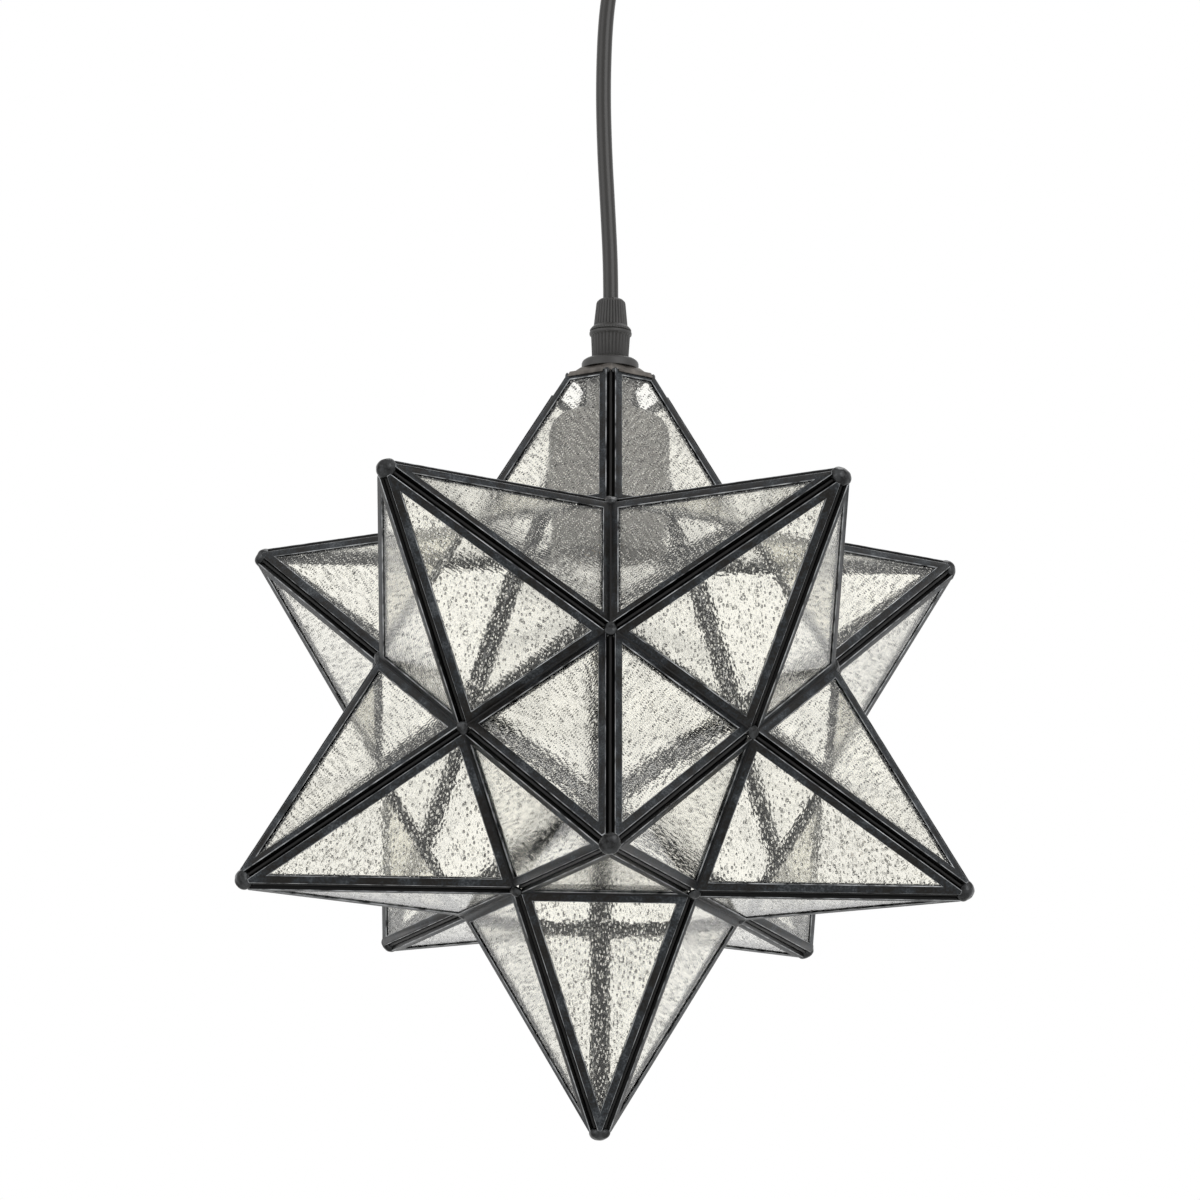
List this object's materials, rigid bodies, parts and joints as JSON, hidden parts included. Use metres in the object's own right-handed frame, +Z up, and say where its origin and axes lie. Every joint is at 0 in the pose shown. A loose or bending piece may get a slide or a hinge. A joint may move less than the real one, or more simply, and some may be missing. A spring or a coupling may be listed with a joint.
{
  "type": "star pendant light",
  "caption": "Star-shaped hanging light: triangular glass panes in dark came frames around a core, with a hinged point, on a short cord under a ceiling canopy.",
  "frame": {"origin": "centre of the crossbar's top face, on the ceiling plane", "axes": "+Z up into the ceiling, front of the star towards -Y, +X to the right seen from the front"},
  "size_m": [0.3048, 0.32, 0.5675],
  "materials": {
    "came": "lead-toned came under a black patina, low sheen",
    "glass": "clear seedy sheet glass with fine bubbles",
    "solder": "solder under a black patina",
    "hinge": "blackened metal",
    "cap_sheet": "grey-brown patinated sheet",
    "black_plastic": "moulded, fine grain",
    "steel": "zinc plated",
    "holder": "moulded, satin",
    "ceramic": "glazed white body",
    "brass": "plain",
    "canopy_paint": "black powder coat",
    "black_screw": "blackened steel",
    "green_screw": "green dyed earth screw",
    "block_plastic": "translucent white moulding",
    "cord_sheath": "smooth round black sheath",
    "core_sheath": "core insulation"
  },
  "bodies": {
    "ceiling_fitting": {"canopy": "canopy_paint", "crossbar": "steel", "canopy_screws": "black_screw", "ground_screw": "green_screw", "terminal_block": "block_plastic", "canopy_grip": "black_plastic", "grip_set_screw": "steel", "canopy_grip_nut": "steel", "cord_tail": "cord_sheath", "mains_cores": "core_sheath"},
    "star": {"came_bottom": "came", "came_lower_front": "came", "came_lower_right": "came", "came_lower_left": "came", "came_lower_rear_right": "came", "came_lower_rear_left": "came", "came_upper_right": "came", "came_upper_left": "came", "came_side_right": "came", "came_side_left": "came", "came_top": "came", "glass_bottom": "glass", "glass_lower_front": "glass", "glass_lower_right": "glass", "glass_lower_left": "glass", "glass_lower_rear_right": "glass", "glass_lower_rear_left": "glass", "glass_upper_right": "glass", "glass_upper_left": "glass", "glass_side_right": "glass", "glass_side_left": "glass", "glass_top": "glass", "tip_domes": "solder", "corner_beads": "solder", "hinge_knuckle_fixed": "hinge", "hinge_pin": "hinge", "latch_post": "hinge", "star_cap": "cap_sheet", "flange_washer": "black_plastic", "grip_body": "black_plastic", "grip_nut": "black_plastic", "lock_nut": "steel", "nipple": "steel", "holder_cap": "holder", "holder_skirt": "holder", "holder_insert": "ceramic", "screw_shell": "brass", "centre_contact": "brass", "terminals": "brass", "terminal_screws": "steel", "lamp_cores": "core_sheath", "cord": "cord_sheath"},
    "door": {"door_came": "came", "door_glass": "glass", "door_tip_dome": "solder", "hinge_knuckles_door": "hinge", "latch_ear": "hinge"},
    "latch": {"latch_button": "hinge"}
  },
  "joints": [
    {"name": "pendant_swing", "type": "hinge", "parent": "ceiling_fitting", "child": "star", "pos_m": [0, 0, -0.0451], "axis": [0, 1, 0], "range_deg": [-25, 25]},
    {"name": "door_hinge", "type": "hinge", "parent": "star", "child": "door", "pos_m": [0, 0.05141, -0.30681], "axis": [1, 0, 0], "range_deg": [0, 105]},
    {"name": "latch_turn", "type": "hinge", "parent": "star", "child": "latch", "pos_m": [0.03784, 0.08915, -0.38653], "axis": [0, 0.8944, 0.4472], "range_deg": [0, 90]}
  ]
}
